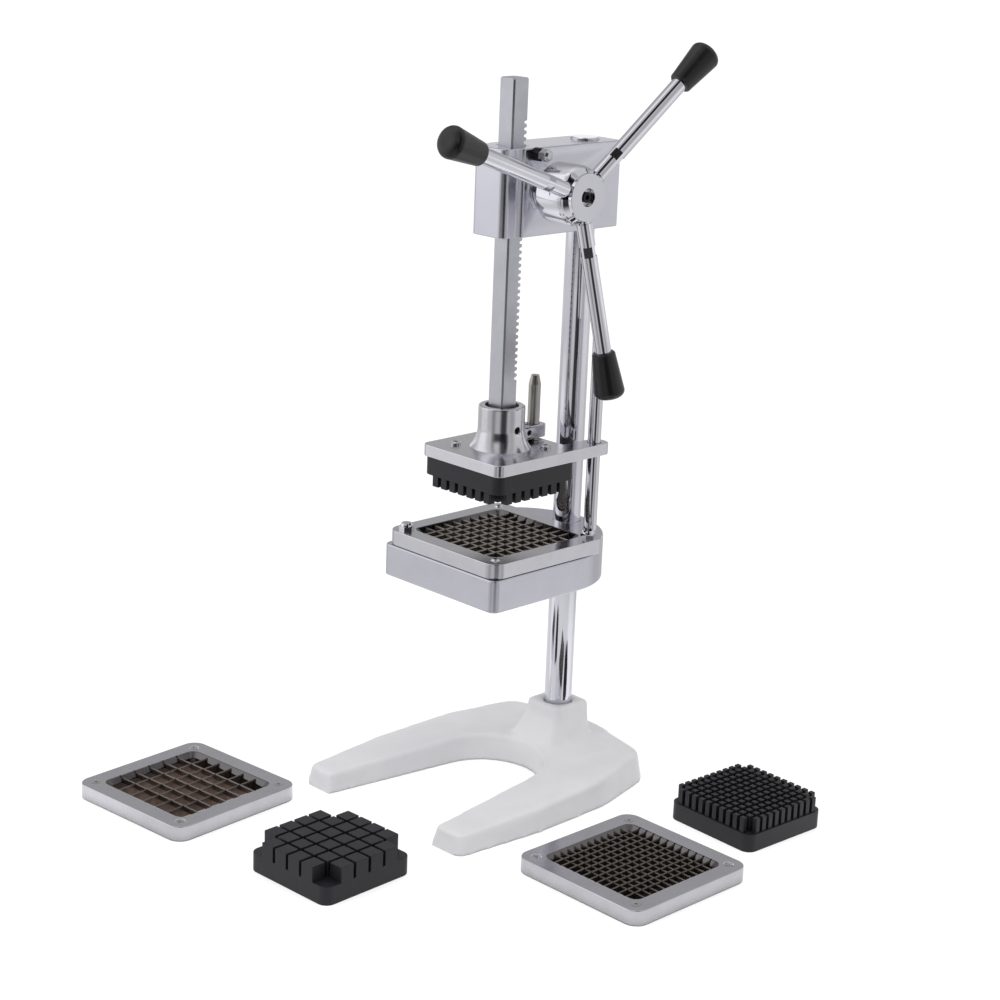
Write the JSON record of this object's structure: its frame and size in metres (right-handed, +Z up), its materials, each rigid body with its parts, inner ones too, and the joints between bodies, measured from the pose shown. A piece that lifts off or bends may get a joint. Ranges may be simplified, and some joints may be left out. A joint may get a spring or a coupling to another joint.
{
  "type": "french fry cutter",
  "caption": "Upright lever press on a horseshoe base: a toothed pusher on a rack drives potatoes through a blade grid, with spare coarse and fine grids and blocks.",
  "frame": {"origin": "on the table, straight below the rack and the middle of the mounted grid, where the container for the cut food stands", "axes": "+X to the operator's right, where the levers are; +Y to the back, where the column stands; +Z up"},
  "size_m": [0.5592, 0.5228, 0.7407],
  "materials": {
    "white_paint": "semi-gloss white enamel over cast iron",
    "chrome": "bright chrome plate",
    "cast_aluminium": "satin, fine-blasted and polished on its flats",
    "polished_aluminium": "polished",
    "rack_steel": "ground and zinc plated",
    "blade_steel": "ground stainless strip",
    "screw_steel": "bright zinc plate",
    "pin_steel": "turned steel",
    "black_steel": "black oxide",
    "bronze": "sintered bronze",
    "black_block": "black moulded plastic",
    "black_grip": "black phenolic, semi-gloss"
  },
  "bodies": {
    "stand": {"base": "white_paint", "column": "chrome", "column_bolt": "black_steel", "blade_holder": "cast_aluminium", "holder_set_screws": "black_steel", "guide_rod": "chrome", "guide_rod_nut": "screw_steel", "gear_head": "cast_aluminium", "head_set_screws": "black_steel", "left_bush": "bronze", "right_bush": "bronze", "bush_set_screw": "black_steel", "brake_pad": "bronze", "brake_screw": "screw_steel", "brake_lock_nut": "black_steel", "cutting_frame": "polished_aluminium", "upper_blades": "blade_steel", "lower_blades": "blade_steel", "frame_screws": "screw_steel", "frame_studs": "screw_steel", "dome_nuts": "chrome"},
    "pinion": {"pinion": "rack_steel", "hub": "chrome", "hub_set_screw": "black_steel", "shaft_washer": "screw_steel", "shaft_end_screw": "black_steel", "lever_1": "chrome", "lever_2": "chrome", "lever_3": "chrome", "grip_1": "black_grip", "grip_2": "black_grip", "grip_3": "black_grip"},
    "pusher": {"rack": "rack_steel", "pusher_plate": "polished_aluminium", "collar_set_screw": "black_steel", "stop_pin": "pin_steel", "pinch_screw": "black_steel", "pusher_block": "black_block", "block_screws": "screw_steel"},
    "coarse_grid": {"coarse_frame": "polished_aluminium", "coarse_upper_blades": "blade_steel", "coarse_lower_blades": "blade_steel", "coarse_frame_screws": "screw_steel"},
    "coarse_block": {"coarse_block": "black_block"},
    "fine_grid": {"fine_frame": "polished_aluminium", "fine_upper_blades": "blade_steel", "fine_lower_blades": "blade_steel", "fine_frame_screws": "screw_steel"},
    "fine_block": {"fine_block": "black_block"}
  },
  "joints": [
    {"name": "lever_turn", "type": "hinge", "parent": "stand", "child": "pinion", "pos_m": [0, 0.0206, 0.6036], "axis": [1, 0, 0], "range_deg": [-550, 273.1]},
    {"name": "pusher_slide", "type": "slide", "parent": "stand", "child": "pusher", "axis": [0, 0, 1], "range_m": [-0.0573, 0.1153]},
    {"name": "coarse_grid_lift", "type": "slide", "parent": "stand", "child": "coarse_grid", "axis": [0, 0, 1], "range_m": [0, 0.3]},
    {"name": "coarse_block_lift", "type": "slide", "parent": "stand", "child": "coarse_block", "axis": [0, 0, 1], "range_m": [0, 0.3]},
    {"name": "fine_grid_lift", "type": "slide", "parent": "stand", "child": "fine_grid", "axis": [0, 0, 1], "range_m": [0, 0.3]},
    {"name": "fine_block_lift", "type": "slide", "parent": "stand", "child": "fine_block", "axis": [0, 0, 1], "range_m": [0, 0.3]}
  ],
  "couplings": [
    {"joint": "pusher_slide", "follows": "lever_turn", "m_per_rad": -0.012}
  ]
}
